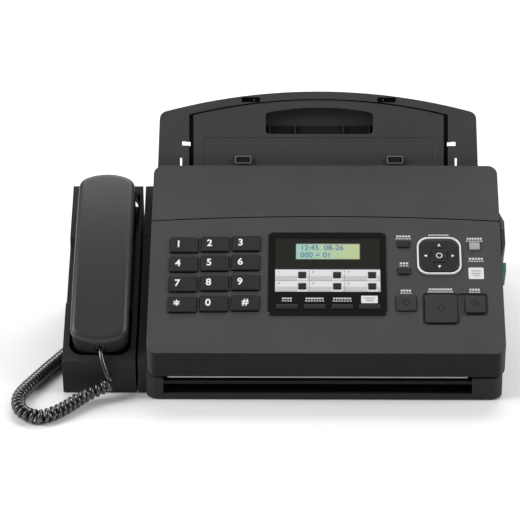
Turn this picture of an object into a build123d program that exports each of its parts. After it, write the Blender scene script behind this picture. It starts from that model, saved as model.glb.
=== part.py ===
from build123d import *
import os
from math import cos, pi, radians, sin, tan

os.makedirs("parts", exist_ok=True)

# ------------------------------------------------------------------ driving dimensions, mm
WIDTH = 360.0  # left side of the handset cradle to the covers on the right side
DEPTH = 226.0  # front face to rear wall, without the handset cord
SLOPE = 28.0  # the control panel's rise towards the rear, degrees
WALL = 2.2  # moulded cover thickness
CASE_WALL = 2.5  # lower case thickness
FRONT = -DEPTH / 2
REAR = DEPTH / 2
LEFT = -WIDTH / 2
RIGHT = WIDTH / 2

PANEL_LEFT = -111.3
PANEL_RIGHT = 176.2
PANEL_MID = (PANEL_LEFT + PANEL_RIGHT) / 2
PANEL_TOP = 43.3  # height of the panel's front edge
PANEL_DEPTH = 19.0  # panel surface to the bottom of its skirts, square to the slope
SEAM_SIDE = 128.0  # distance up the slope to the seam, at the sides
SEAM_RISE = 4.7  # the seam arches this much further back in the middle
SEAM_GAP = 1.0
COVER_REAR = 185.4  # distance up the slope to the back cover's rear edge
PIVOT_V, PIVOT_W = 113.0, -8.0  # control panel hinge: up the slope, and below the surface
PIN_R = 3.0
PIN_CLEARANCE = 0.05

CASE_LEFT = -112.6
CASE_RIGHT = 174.6
CASE_BOTTOM = 1.2
TRIM_LEFT = -118.9  # outer face of the strip between the body and the cradle
CRADLE_RIGHT = -120.9
CRADLE_DROP = 17.3  # the cradle's top lies this much below the panel's surface
HANDSET_X = -150.0
HANDSET_WIDTH = 46.5

HINGE_Y, HINGE_Z = 200.0, 62.0  # back cover hinge: behind the front face, and height
TRAY_LEAN = 62.0  # the paper tray's slope, degrees
TRAY_Y, TRAY_Z = 170.0, 120.0  # a point on the tray's front surface
TRAY_LEFT, TRAY_RIGHT = -109.1, 161.5
CHANNEL_LEFT, CHANNEL_RIGHT = -82.5, 136.0  # paper channel, for sheets 210 mm wide
TRAY_MID = (TRAY_LEFT + TRAY_RIGHT) / 2
PLATE_PIVOT_S, PLATE_PIVOT_N = -18.0, -1.5

PLATE_IN_LEFT, PLATE_IN_RIGHT = -108.6, 171.8  # outer faces of the chassis side plates
PLATE_T = 2.2

CORD_D = 3.7  # the handset cord's wire
COIL_D = 11.8  # outside of its coiled stretch

# ------------------------------------------------------------------ places
SLOPE_RAD = radians(SLOPE)
UP_SLOPE = (0, cos(SLOPE_RAD), sin(SLOPE_RAD))
OUT_OF_SLOPE = (0, -sin(SLOPE_RAD), cos(SLOPE_RAD))
PANEL = Plane(origin=(0, FRONT, PANEL_TOP), x_dir=(1, 0, 0), z_dir=OUT_OF_SLOPE)
CRADLE = Plane(
    origin=(0, FRONT, PANEL_TOP - CRADLE_DROP / cos(SLOPE_RAD)), x_dir=(1, 0, 0), z_dir=OUT_OF_SLOPE
)
LEAN_RAD = radians(TRAY_LEAN)
TRAY = Plane(
    origin=(0, FRONT + TRAY_Y, TRAY_Z),
    x_dir=(1, 0, 0),
    z_dir=(0, -sin(LEAN_RAD), cos(LEAN_RAD)),
)


def on_slope(v, w=0.0):
    """World (y, z) of a point v up the panel's slope and w above its surface."""
    point = PANEL.from_local_coords((0, v, w))
    return point.Y, point.Z


def on_cradle(v, w=0.0):
    """The same, above the cradle's surface."""
    point = CRADLE.from_local_coords((0, v, w))
    return point.Y, point.Z


def on_tray(s, n=0.0):
    """World (y, z) of a point s up the tray and n in front of its surface."""
    point = TRAY.from_local_coords((0, s, n))
    return point.Y, point.Z


def from_front(y, z):
    """World (y, z) of a point y behind the front face."""
    return FRONT + y, z


def side_plane(x):
    """A plane square to X, whose own axes are the world's Y and Z."""
    return Plane(origin=(x, 0, 0), x_dir=(0, 1, 0), z_dir=(1, 0, 0))


# ------------------------------------------------------------------ shared shapes
def prism(x_low, x_high, outline):
    """A solid between two planes square to X, with a (y, z) outline."""
    with BuildPart() as block:
        with BuildSketch(side_plane(x_low)):
            with BuildLine():
                Polyline(*outline, close=True)
            make_face()
        extrude(amount=x_high - x_low)
    return block.part


def rod(x_low, x_high, centre, radius):
    """A round bar along X about a (y, z) centre."""
    with BuildPart() as bar:
        with BuildSketch(side_plane(x_low)):
            with Locations(centre):
                Circle(radius)
        extrude(amount=x_high - x_low)
    return bar.part


def bowed_slab(left, right, front, rear, rise, top, bottom, bow_front=False, corner=0.0):
    """A slab on the slope. Its rear (or front) edge arches back by rise in the middle."""
    middle = (left + right) / 2
    front_mid = front + rise if bow_front else front
    rear_mid = rear if bow_front else rear + rise
    with BuildPart() as slab:
        with BuildSketch(PANEL.offset(bottom)) as outline:
            with BuildLine():
                if bow_front:
                    ThreePointArc((left, front), (middle, front_mid), (right, front))
                else:
                    Line((left, front), (right, front))
                Line((right, front), (right, rear))
                if bow_front:
                    Line((right, rear), (left, rear))
                else:
                    ThreePointArc((right, rear), (middle, rear_mid), (left, rear))
                Line((left, rear), (left, front))
            make_face()
            if corner > 0:
                rear_corners = outline.vertices().group_by(Axis.Y)[-1]
                fillet(rear_corners, corner)
        extrude(amount=top - bottom)
    return slab.part


def upright_block(left, right, front, rear, height, corner):
    """A block with upright walls and rounded front corners, measured from the front face."""
    with BuildPart() as block:
        with BuildSketch(Plane.XY) as outline:
            with Locations(((left + right) / 2, FRONT + (front + rear) / 2)):
                Rectangle(right - left, rear - front)
            fillet(outline.vertices().group_by(Axis.Y)[0], corner)
        extrude(amount=height)
    return block.part


def on_top(height):
    """A filter for edges that lie in the plane this far above the panel."""
    return lambda edge: abs(PANEL.to_local_coords(edge.center()).Z - height) < 1e-3


def finish(part, name):
    """Name a piece and write it."""
    part.label = name
    export_step(part, f"parts/{name}.step")


# ------------------------------------------------------------------ lower case
DECK_Z = 58.0
SLOT_LEFT, SLOT_RIGHT = -98.4, 149.9
SLOT_LOW, SLOT_HIGH = 5.6, 15.0
FRONT_WALL_TOP = 19.4
HOOD_Y = 160.0  # the side walls follow the slope up to here, then drop to the deck
JACK_X = (60.0, 76.0)
JACK_W, JACK_H = 13.0, 12.0
INLET_X, INLET_W, INLET_H = 118.0, 28.0, 20.0
BOARD_Z = 8.0
BOARD_T = 1.6
SPEAKER_X, SPEAKER_Y, SPEAKER_R = -78.0, 150.0, 25.0
FOOT_R = 7.0
FOOT_PLACES = [
    (x, FRONT + y) for x in (CASE_LEFT + 14, CASE_RIGHT - 14) for y in (16.0, 206.0)
]
SCREW_PLACES = [
    (x, FRONT + y) for x in (PLATE_IN_LEFT + 8, PLATE_IN_RIGHT - 8) for y in (36.0, 190.0)
]
SCREW_R = 1.4
HOLE_R = 1.5
RIM = -PANEL_DEPTH - 1.0  # the side walls end this far below the panel's surface

case_block = upright_block(CASE_LEFT, CASE_RIGHT, 0, DEPTH, 112, 9)
case_room = upright_block(
    CASE_LEFT + CASE_WALL, CASE_RIGHT - CASE_WALL, CASE_WALL, DEPTH - CASE_WALL, 112, 6.5
)
case_side = prism(
    CASE_LEFT - 1,
    CASE_RIGHT + 1,
    [
        from_front(0, CASE_BOTTOM),
        from_front(0, FRONT_WALL_TOP),
        on_slope(2.0 / cos(SLOPE_RAD), RIM),
        on_slope(HOOD_Y / cos(SLOPE_RAD), RIM),
        from_front(HOOD_Y + 9, 99),
        from_front(208, DECK_Z),
        from_front(DEPTH, DECK_Z - 2),
        from_front(DEPTH, CASE_BOTTOM),
    ],
)
room_side = prism(
    CASE_LEFT - 1,
    CASE_RIGHT + 1,
    [
        from_front(0, CASE_BOTTOM + CASE_WALL),
        from_front(0, 130),
        from_front(208.5, 130),
        from_front(208.5, DECK_Z - CASE_WALL),
        from_front(DEPTH, DECK_Z - 2 - CASE_WALL),
        from_front(DEPTH, CASE_BOTTOM + CASE_WALL),
    ],
)
trim_side = prism(
    TRIM_LEFT,
    CASE_LEFT + 1,
    [
        from_front(10.2, 0.8),
        on_cradle(11.6),
        on_cradle(185.6),
        from_front(164, 0.8),
    ],
)
trim_pocket = prism(
    TRIM_LEFT + 2,
    CASE_LEFT - 0.2,
    [
        from_front(12.4, 0),
        on_cradle(14.6, -2),
        on_cradle(183, -2),
        from_front(161.8, 0),
    ],
)
trim_seam = prism(
    TRIM_LEFT - 1,
    CASE_LEFT - 0.3,
    [on_cradle(v, w) for v, w in ((135.0, -1.0), (135.9, -1.0), (135.9, 1.0), (135.0, 1.0))],
)
cover_bump = prism(
    PANEL_RIGHT + 0.7,
    RIGHT,
    [on_slope(v, w) for v, w in ((96.0, 0.0), (119.6, 0.0), (119.6, -32.0), (96.0, -32.0))],
)
bump_root = prism(
    CASE_RIGHT - 1,
    RIGHT,
    [on_slope(v, w) for v, w in ((96.0, -21.0), (119.6, -21.0), (119.6, -32.0), (96.0, -32.0))],
)
with BuildPart() as bump_bevel:
    with BuildSketch(PANEL.offset(-40)):
        with BuildLine():
            Polyline(
                (PANEL_RIGHT + 0.7, 90), (PANEL_RIGHT + 0.7, 96), (RIGHT - 0.6, 104),
                (RIGHT + 0.1, 106.5), (RIGHT + 4, 110), (RIGHT + 4, 90), close=True,
            )
        make_face()
    extrude(amount=50)

with BuildPart() as lower_case:
    add(case_block)
    add(case_side, mode=Mode.INTERSECT)
    add(case_room & room_side, mode=Mode.SUBTRACT)
    add(trim_side - trim_pocket - trim_seam)
    add(cover_bump + bump_root - bump_bevel.part)
    # paper outlet through the front wall
    with BuildSketch(Plane.XZ.offset(-FRONT + 1)):
        with Locations(((SLOT_LEFT + SLOT_RIGHT) / 2, (SLOT_LOW + SLOT_HIGH) / 2)):
            Rectangle(SLOT_RIGHT - SLOT_LEFT, SLOT_HIGH - SLOT_LOW)
    extrude(amount=-CASE_WALL - 2, mode=Mode.SUBTRACT)
    # document outlet: the front wall is lower between the two feed guides
    with BuildSketch(Plane.XZ.offset(-FRONT + 1)):
        with Locations(((SLOT_LEFT + SLOT_RIGHT) / 2, FRONT_WALL_TOP)):
            Rectangle(SLOT_RIGHT - SLOT_LEFT, 4.6)
    extrude(amount=-CASE_WALL - 2, mode=Mode.SUBTRACT)
    # openings for the sockets in the rear wall
    with BuildSketch(Plane.XZ.offset(-REAR - 1)):
        with Locations(*[(x, BOARD_Z + BOARD_T + JACK_H / 2) for x in JACK_X]):
            Rectangle(JACK_W + 0.6, JACK_H + 0.6)
        with Locations((INLET_X, BOARD_Z + BOARD_T + INLET_H / 2)):
            Rectangle(INLET_W + 0.6, INLET_H + 0.6)
    extrude(amount=CASE_WALL + 2, mode=Mode.SUBTRACT)
    # slot for the release lever in the right wall
    with BuildSketch(PANEL.offset(-30)):
        with Locations((CASE_RIGHT - 1, 89.5)):
            Rectangle(6, 13)
    extrude(amount=6, mode=Mode.SUBTRACT)
    # foot recesses, screw holes and the speaker's grille in the floor
    with BuildSketch(Plane.XY.offset(CASE_BOTTOM)):
        with Locations(*FOOT_PLACES):
            Circle(FOOT_R + 0.2)
    extrude(amount=0.8, mode=Mode.SUBTRACT)
    with BuildSketch(Plane.XY.offset(CASE_BOTTOM - 1)):
        with Locations(*SCREW_PLACES):
            Circle(HOLE_R)
        with Locations((SPEAKER_X, FRONT + SPEAKER_Y)):
            with GridLocations(0, 6, 1, 6):
                SlotOverall(28, 2.4)
    extrude(amount=CASE_WALL + 2, mode=Mode.SUBTRACT)
finish(lower_case.part, "lower_case")

with BuildPart() as rubber_feet:
    with BuildSketch(Plane.XY):
        with Locations(*FOOT_PLACES):
            Circle(FOOT_R)
    extrude(amount=CASE_BOTTOM + 0.8)
    chamfer(rubber_feet.faces().group_by(Axis.Z)[0].edges(), 0.6)
finish(rubber_feet.part, "rubber_feet")

with BuildPart() as case_screws:
    with BuildSketch(Plane.XY.offset(0.4)):
        with Locations(*SCREW_PLACES):
            Circle(3.0)
    extrude(amount=CASE_BOTTOM - 0.4)
    with BuildSketch(Plane.XY.offset(CASE_BOTTOM)):
        with Locations(*SCREW_PLACES):
            Circle(SCREW_R)
    extrude(amount=8)
finish(case_screws.part, "case_screws")

# ------------------------------------------------------------------ chassis
PLATEN = (FRONT + 93.0, 46.0)
PICKUP = (FRONT + 150.0, 76.0)
SUPPLY = (FRONT + 124.0, 62.0)
TAKE_UP = (FRONT + 57.0, 36.0)
PIVOT = on_slope(PIVOT_V, PIVOT_W)
REAR_HINGE = (FRONT + HINGE_Y, HINGE_Z)
FLOOR = CASE_BOTTOM + CASE_WALL
PLATE_SPANS = (
    (PLATE_IN_LEFT, PLATE_IN_LEFT + PLATE_T),
    (PLATE_IN_RIGHT - PLATE_T, PLATE_IN_RIGHT),
)
plate_outline = [
    from_front(24, FLOOR),
    on_slope(30, -33),
    on_slope(PIVOT_V - 5.2, -33),
    on_slope(PIVOT_V - 5.2, PIVOT_W),
    on_slope(PIVOT_V + 5.2, PIVOT_W),
    on_slope(PIVOT_V + 5.2, -26),
    on_slope(160, -34),
    from_front(176, 80),
    from_front(194, HINGE_Z + 2),
    from_front(206, HINGE_Z),
    from_front(206, FLOOR),
]
holes = [PIVOT, REAR_HINGE, PLATEN, PICKUP, SUPPLY, TAKE_UP]
with BuildPart() as chassis:
    for low, high in PLATE_SPANS:
        add(prism(low, high, plate_outline))
        add(rod(low, high, PIVOT, 5.2))
        add(rod(low, high, REAR_HINGE, 6.0))
        for hole in holes:
            add(rod(low - 1, high + 1, hole, PIN_R + PIN_CLEARANCE), mode=Mode.SUBTRACT)
    # cross members: under the thermal head, below the supply film, at the rear
    for y, z, size in ((93.0, 27.0, 5.0), (112.0, 38.0, 5.0), (180.0, 40.0, 5.0)):
        corners = [(-1, -1), (1, -1), (1, 1), (-1, 1)]
        outline = [from_front(y + dy * size / 2, z + dz * size / 2) for dy, dz in corners]
        add(prism(PLATE_IN_LEFT + PLATE_T, PLATE_IN_RIGHT - PLATE_T, outline))
    # feet that take the case screws
    with BuildSketch(Plane.XY.offset(FLOOR)):
        for x, y in SCREW_PLACES:
            with Locations((x + (-1.5 if x < PANEL_MID else 1.5), y)):
                Rectangle(11, 10)
    extrude(amount=6)
    with BuildSketch(Plane.XY.offset(FLOOR)):
        with Locations(*SCREW_PLACES):
            Circle(HOLE_R)
    extrude(amount=6, mode=Mode.SUBTRACT)
finish(chassis.part, "chassis")

# ------------------------------------------------------------------ boards, speaker and motor
with BuildPart() as main_board:
    with BuildSketch(Plane.XY.offset(BOARD_Z)):
        with Locations((62, FRONT + 168)):
            Rectangle(176, 90)
    extrude(amount=BOARD_T)
    with BuildSketch(Plane.XY.offset(BOARD_Z + BOARD_T)):
        with Locations(*[(x, REAR - 9) for x in JACK_X]):
            Rectangle(JACK_W, 16)
    extrude(amount=JACK_H)
    with BuildSketch(Plane.XY.offset(BOARD_Z + BOARD_T)):
        with Locations((INLET_X, REAR - 10)):
            Rectangle(INLET_W, 18)
    extrude(amount=INLET_H)
    # chips, capacitors and the transformer
    with BuildSketch(Plane.XY.offset(BOARD_Z + BOARD_T)):
        with Locations((20, FRONT + 165), (48, FRONT + 150)):
            Rectangle(18, 18)
    extrude(amount=2.5)
    with BuildSketch(Plane.XY.offset(BOARD_Z + BOARD_T)):
        with Locations((100, FRONT + 160), (112, FRONT + 148), (124, FRONT + 160)):
            Circle(4.5)
    extrude(amount=16)
    with BuildSketch(Plane.XY.offset(BOARD_Z + BOARD_T)):
        with Locations((112, FRONT + 182)):
            RectangleRounded(34, 28, 3)
    extrude(amount=24)
    # the openings of the line sockets and of the power inlet, with its two pins
    with BuildSketch(Plane.XZ.offset(-REAR)):
        with Locations(*[(x, BOARD_Z + BOARD_T + JACK_H / 2) for x in JACK_X]):
            Rectangle(9.8, 8.0)
        with Locations((INLET_X, BOARD_Z + BOARD_T + INLET_H / 2)):
            RectangleRounded(20, 12.5, 4)
    extrude(amount=13, mode=Mode.SUBTRACT)
    with BuildSketch(Plane.XZ.offset(-REAR + 13)):
        with Locations((INLET_X, BOARD_Z + BOARD_T + INLET_H / 2)):
            with GridLocations(8.6, 1, 2, 1):
                Circle(1.2)
    extrude(amount=-9)
finish(main_board.part, "main_board")

with BuildPart() as speaker:
    with BuildSketch(Plane.XY.offset(FLOOR)):
        with Locations((SPEAKER_X, FRONT + SPEAKER_Y)):
            Circle(SPEAKER_R)
            Circle(SPEAKER_R - 4, mode=Mode.SUBTRACT)
    extrude(amount=3)
    with BuildSketch(Plane.XY.offset(FLOOR + 3)):
        with Locations((SPEAKER_X, FRONT + SPEAKER_Y)):
            Circle(SPEAKER_R)
    extrude(amount=8, taper=40)
    with BuildSketch(Plane.XY.offset(FLOOR + 11)):
        with Locations((SPEAKER_X, FRONT + SPEAKER_Y)):
            Circle(12)
    extrude(amount=7)
finish(speaker.part, "speaker")

MOTOR = (FRONT + 72.0, 20.0)
with BuildPart() as feed_motor:
    add(rod(PLATE_IN_RIGHT - PLATE_T - 20, PLATE_IN_RIGHT - PLATE_T - 1.5, MOTOR, 13))
    add(rod(PLATE_IN_RIGHT - PLATE_T - 1.5, PLATE_IN_RIGHT - PLATE_T, MOTOR, 16))
    add(rod(PLATE_IN_RIGHT - PLATE_T - 24, PLATE_IN_RIGHT - PLATE_T - 20, MOTOR, 3))
finish(feed_motor.part, "feed_motor")

# ------------------------------------------------------------------ print and scan units
with BuildPart() as thermal_head:
    add(prism(-82, 138, [from_front(y, z) for y, z in ((84, 29.5), (102, 29.5), (102, 33), (84, 33))]))
    add(prism(-78, 134, [from_front(y, z) for y, z in ((89, 33), (97, 33), (96, 36.6), (90, 36.6))]))
finish(thermal_head.part, "thermal_head")

with BuildPart() as image_sensor:
    add(prism(-96, 147, [from_front(y, z) for y, z in ((8, 20), (22, 20), (22, 32), (10, 27))]))
finish(image_sensor.part, "image_sensor")


def roller(name, centre, radius, low, high):
    """A roller on a shaft that turns in the chassis plates."""
    with BuildPart() as turned:
        add(rod(PLATE_IN_LEFT + 0.3, PLATE_IN_RIGHT - 0.3, centre, PIN_R))
        add(rod(low, high, centre, radius))
    finish(turned.part, name)


roller("platen_roller", PLATEN, 9.0, -86.0, 142.0)
roller("feed_roller", PICKUP, 9.0, 10.0, 44.0)
roller("film_supply_roll", SUPPLY, 13.0, -84.0, 140.0)
roller("film_take_up_roll", TAKE_UP, 10.0, -84.0, 140.0)

# ------------------------------------------------------------------ control panel
BEZEL_X, BEZEL_V, BEZEL_W, BEZEL_L = 33.75, 76.4, 96.3, 81.6
WINDOW_X, WINDOW_V, WINDOW_W, WINDOW_L = 34.05, 96.1, 86.3, 30.2
CARD_X, CARD_V, CARD_W, CARD_L = 34.1, 69.1, 85.8, 21.8
KEY_GAP = 0.35  # between a key and the hole it moves in
BOW_RADIUS = 2900.0  # rows of keys follow an arc this large


def bowed(x, v):
    """A key's place, moved down the arc of its row."""
    return x, v - (x - PANEL_MID) ** 2 / (2 * BOW_RADIUS)


DIAL_NAMES = ("1", "2", "3", "4", "5", "6", "7", "8", "9", "star", "0", "hash")
DIAL_X = (-83.6, -58.15, -32.7)
DIAL_V = (106.2, 87.2, 67.8, 48.0)
# name: (x, v, width, length, corner radius, height above the panel)
panel_keys = {}
for index, dial_name in enumerate(DIAL_NAMES):
    place = bowed(DIAL_X[index % 3], DIAL_V[index // 3])
    panel_keys[f"dial_key_{dial_name}"] = (*place, 22.6, 15.3, 1.6, 2.2)
panel_keys["caller_id_key"] = (96.3, 105.3, 10.0, 6.9, 1.0, 1.4)
panel_keys["menu_key"] = (96.4, 78.8, 10.0, 6.9, 1.0, 1.4)
panel_keys["auto_answer_key"] = (154.5, 103.3, 8.6, 7.2, 1.0, 1.4)
panel_keys["stop_key"] = (97.4, 47.6, 16.4, 15.4, 2.4, 1.4)
panel_keys["start_key"] = (125.4, 42.3, 26.0, 27.0, 3.0, 1.2)
panel_keys["copy_key"] = (153.2, 46.5, 16.2, 16.2, 2.4, 1.2)
NAV_X, NAV_V, NAV_W, NAV_L = 125.3, 93.4, 32.2, 31.2
SET_W, SET_L = 13.4, 13.8

# keys that stand in the display's surround
bezel_keys = {}
for row, v in enumerate((74.5, 63.5)):
    for column, x in enumerate((13.4, 41.75, 70.2)):
        bezel_keys[f"one_touch_key_{3 * row + column + 1}"] = (x, v, 6.0, 5.8, 0.6, 1.6)
for column, x in enumerate((1.0, 23.4, 45.7, 68.0)):
    bezel_keys[f"function_key_{column + 1}"] = (x, 43.4, 17.4, 4.3, 0.8, 1.9)

BOARD_TOP = -7.0  # the key board's contacts, below the panel's surface
KEY_FOOT = -5.0
FLANGE = 0.9
WELL_DEPTH = 0.9

panel_block = bowed_slab(
    PANEL_LEFT, PANEL_RIGHT, -60, SEAM_SIDE, SEAM_RISE, 0, -PANEL_DEPTH
)
panel_room = bowed_slab(
    PANEL_LEFT + WALL, PANEL_RIGHT - WALL, -60, SEAM_SIDE + 20, SEAM_RISE, -WALL, -PANEL_DEPTH - 6
)
panel_walls = upright_block(PANEL_LEFT, PANEL_RIGHT, 0, 140, 140, 8.5)
panel_walls_in = upright_block(PANEL_LEFT + WALL, PANEL_RIGHT - WALL, WALL, 160, 140, 6.3)
behind_pivot = prism(
    PANEL_LEFT - 1,
    PANEL_RIGHT + 1,
    [on_slope(v, w) for v, w in ((PIVOT_V, -2.2), (150, -2.2), (150, -30), (PIVOT_V, -30))],
)

with BuildPart() as control_panel:
    add(panel_block)
    add(panel_walls, mode=Mode.INTERSECT)
    add(panel_room & panel_walls_in, mode=Mode.SUBTRACT)
    add(behind_pivot, mode=Mode.SUBTRACT)
    # hinge pins, inside the skirts
    for low, high in ((PANEL_LEFT, PANEL_LEFT + WALL + 3.4), (PANEL_RIGHT - WALL - 4.6, PANEL_RIGHT)):
        add(rod(low, high, PIVOT, PIN_R))
    for low, high in ((PANEL_LEFT, PANEL_LEFT + WALL), (PANEL_RIGHT - WALL, PANEL_RIGHT)):
        add(rod(low, high, PIVOT, 7.6))
    # posts that carry the key board
    with BuildSketch(PANEL.offset(BOARD_TOP)):
        with Locations(*[(x, v) for x in (-98.0, -20.5, 86.0, 166.0) for v in (24.0, 116.0)]):
            Circle(2.4)
    extrude(amount=-BOARD_TOP - WALL)
    # shallow wells round the start and copy keys
    with BuildSketch(PANEL.offset(-WELL_DEPTH)):
        with Locations((125.5, 42.3)):
            RectangleRounded(30.0, 30.4, 3)
        with Locations((151.2, 46.6)):
            RectangleRounded(24.4, 21.8, 3)
    extrude(amount=2, mode=Mode.SUBTRACT)
    # key holes and the display's opening
    with BuildSketch(PANEL.offset(-WALL - 1)):
        for x, v, width, length, corner, _ in panel_keys.values():
            with Locations((x, v)):
                RectangleRounded(width + 2 * KEY_GAP, length + 2 * KEY_GAP, corner + KEY_GAP)
        with Locations((NAV_X, NAV_V)):
            RectangleRounded(NAV_W + 2 * KEY_GAP, NAV_L + 2 * KEY_GAP, 9 + KEY_GAP)
        with Locations((BEZEL_X, BEZEL_V)):
            RectangleRounded(BEZEL_W - 4, BEZEL_L - 4, 3)
    extrude(amount=WALL + 2, mode=Mode.SUBTRACT)
finish(control_panel.part, "control_panel")


def key(name, x, v, width, length, corner, height, shoulder=-WALL - 0.4):
    """A key cap with a soft top edge and the flange that keeps it in its hole."""
    with BuildPart() as cap:
        with BuildSketch(PANEL.offset(KEY_FOOT)):
            with Locations((x, v)):
                RectangleRounded(width, length, corner)
        extrude(amount=height - KEY_FOOT)
        chamfer(cap.edges().filter_by(on_top(height)), 0.5)
        with BuildSketch(PANEL.offset(KEY_FOOT)):
            with Locations((x, v)):
                RectangleRounded(width + 2 * FLANGE, length + 2 * FLANGE, corner + FLANGE)
        extrude(amount=shoulder - KEY_FOOT)
    finish(cap.part, name)


for name, sizes in panel_keys.items():
    key(name, *sizes)
for name, sizes in bezel_keys.items():
    key(name, *sizes)
key("set_key", NAV_X, NAV_V, SET_W, SET_L, 3.0, 1.6, shoulder=-3.6)

with BuildPart() as navigation_pad:
    with BuildSketch(PANEL.offset(KEY_FOOT)):
        with Locations((NAV_X, NAV_V)):
            RectangleRounded(NAV_W, NAV_L, 9)
            RectangleRounded(SET_W + 2 * FLANGE + 0.8, SET_L + 2 * FLANGE + 0.8, 4, mode=Mode.SUBTRACT)
    extrude(amount=1.2 - KEY_FOOT)
    with BuildSketch(PANEL.offset(-1.6)):
        with Locations((NAV_X, NAV_V)):
            RectangleRounded(NAV_W - 2, NAV_L - 2, 8)
            RectangleRounded(SET_W + 0.7, SET_L + 0.7, 3.3, mode=Mode.SUBTRACT)
    extrude(amount=2.8)
    chamfer(navigation_pad.edges().filter_by(on_top(1.2)), 0.4)
finish(navigation_pad.part, "navigation_pad")

with BuildPart() as display_bezel:
    with BuildSketch(PANEL):
        with Locations((BEZEL_X, BEZEL_V)):
            RectangleRounded(BEZEL_W, BEZEL_L, 4)
    extrude(amount=1.0)
    chamfer(display_bezel.edges().filter_by(on_top(1.0)), 0.4)
    with BuildSketch(PANEL.offset(-1.6)):
        with Locations((BEZEL_X, BEZEL_V)):
            RectangleRounded(BEZEL_W - 4.6, BEZEL_L - 4.6, 2.7)
    extrude(amount=1.6)
    with BuildSketch(PANEL.offset(0.7)):
        with Locations((CARD_X, CARD_V)):
            Rectangle(CARD_W, CARD_L)
    extrude(amount=1, mode=Mode.SUBTRACT)
    with BuildSketch(PANEL.offset(-3)):
        with Locations((WINDOW_X, WINDOW_V)):
            RectangleRounded(WINDOW_W, WINDOW_L, 1.2)
        for x, v, width, length, corner, _ in bezel_keys.values():
            with Locations((x, v)):
                RectangleRounded(width + 2 * KEY_GAP, length + 2 * KEY_GAP, corner + KEY_GAP)
    extrude(amount=5, mode=Mode.SUBTRACT)
finish(display_bezel.part, "display_bezel")

with BuildPart() as lcd_module:
    with BuildSketch(PANEL.offset(-4)):
        with Locations((WINDOW_X, WINDOW_V)):
            RectangleRounded(WINDOW_W - 0.4, WINDOW_L - 0.4, 1.0)
    extrude(amount=4.6)
    with BuildSketch(PANEL.offset(BOARD_TOP)):
        with Locations((WINDOW_X, WINDOW_V)):
            Rectangle(60, 20)
    extrude(amount=-BOARD_TOP - 4)
finish(lcd_module.part, "lcd_module")

with BuildPart() as key_board:
    with BuildSketch(PANEL.offset(BOARD_TOP - 1.6)):
        with Locations((34.0, 69.5)):
            Rectangle(267, 98)
    extrude(amount=1.6)
finish(key_board.part, "key_board")

# ------------------------------------------------------------------ back cover
COVER_FRONT = SEAM_SIDE + SEAM_GAP
CHEEK_T = 2.4
CHEEKS = (
    (PLATE_IN_LEFT + PLATE_T + 0.4, PLATE_IN_LEFT + PLATE_T + 0.4 + CHEEK_T),
    (PLATE_IN_RIGHT - PLATE_T - 0.4 - CHEEK_T, PLATE_IN_RIGHT - PLATE_T - 0.4),
)
rear_edge = on_slope(COVER_REAR)
REAR_RAD = radians(TRAY_LEAN - SLOPE)  # between the cover's surface and its rear wall
rear_foot = on_slope(COVER_REAR - PANEL_DEPTH / tan(REAR_RAD), -PANEL_DEPTH)


def inside_rear(w):
    """A point on the inner face of the back cover's rear wall, w above the surface."""
    return on_slope(COVER_REAR - WALL / sin(REAR_RAD) + w / tan(REAR_RAD), w)


cover_top = bowed_slab(
    PANEL_LEFT, PANEL_RIGHT, COVER_FRONT, COVER_REAR, SEAM_RISE, 0, -PANEL_DEPTH, True, 8.5
)
cover_side = prism(
    PANEL_LEFT - 1,
    PANEL_RIGHT + 1,
    [
        on_slope(110, 1),
        on_slope(COVER_REAR - 0.2, 1),
        on_slope(COVER_REAR, -1),
        rear_foot,
        on_slope(110, -PANEL_DEPTH),
    ],
)
cover_room = prism(
    PANEL_LEFT + WALL,
    PANEL_RIGHT - WALL,
    [
        on_slope(110, -WALL),
        inside_rear(-WALL),
        inside_rear(-PANEL_DEPTH - 3),
        on_slope(110, -PANEL_DEPTH - 3),
    ],
)
seam_relief = prism(
    PANEL_LEFT - 1,
    PANEL_RIGHT + 1,
    [on_slope(v, w) for v, w in ((120, -1.8), (131.4, -1.8), (131.4, -30), (120, -30))],
)
cheek_outline = [
    on_slope(136, -WALL),
    on_slope(175, -WALL),
    from_front(158, 108),
    from_front(172, 98),
    from_front(206, 66),
    from_front(205, 57),
    from_front(196, 57),
    on_slope(146, -PANEL_DEPTH - 9),
    on_slope(136, -PANEL_DEPTH - 1),
]
arm_outline = [
    on_slope(v, w) for v, w in ((120.4, 0), (137, 0), (137, -PANEL_DEPTH), (120.4, -PANEL_DEPTH))
]
with BuildPart() as arm_bevel:
    with BuildSketch(PANEL.offset(-40)):
        with BuildLine():
            Polyline(
                (PANEL_RIGHT, 138), (PANEL_RIGHT, 136.6), (RIGHT - 1.6, 132.2),
                (RIGHT + 0.1, 128), (RIGHT + 3, 128), (RIGHT + 3, 140), close=True,
            )
        make_face()
    extrude(amount=50)
arm = prism(PANEL_RIGHT + 0.7, RIGHT, arm_outline) - arm_bevel.part
arm_root = prism(
    PANEL_RIGHT - 1.5,
    PANEL_RIGHT + 1,
    [on_slope(v, w) for v, w in ((131.6, 0), (136.4, 0), (136.4, -PANEL_DEPTH), (131.6, -PANEL_DEPTH))],
)

rear_skin = prism(
    CHEEKS[0][0],
    CHEEKS[1][1],
    [from_front(y, z) for y, z in ((174, 96.2), (206, 66), (207, 61), (205, 61), (204, 65), (173, 94))],
)

with BuildPart() as back_cover:
    add(cover_top)
    add(cover_side, mode=Mode.INTERSECT)
    add(cover_room, mode=Mode.SUBTRACT)
    add(seam_relief, mode=Mode.SUBTRACT)
    add(arm + arm_root)
    add(rear_skin)
    for index, (low, high) in enumerate(CHEEKS):
        add(prism(low, high, cheek_outline))
        add(rod(low, high, REAR_HINGE, 6.0))
        pin_low = low - 2.4 if index == 0 else low
        add(rod(pin_low, pin_low + CHEEK_T + 2.4, REAR_HINGE, PIN_R))
finish(back_cover.part, "back_cover")

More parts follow.
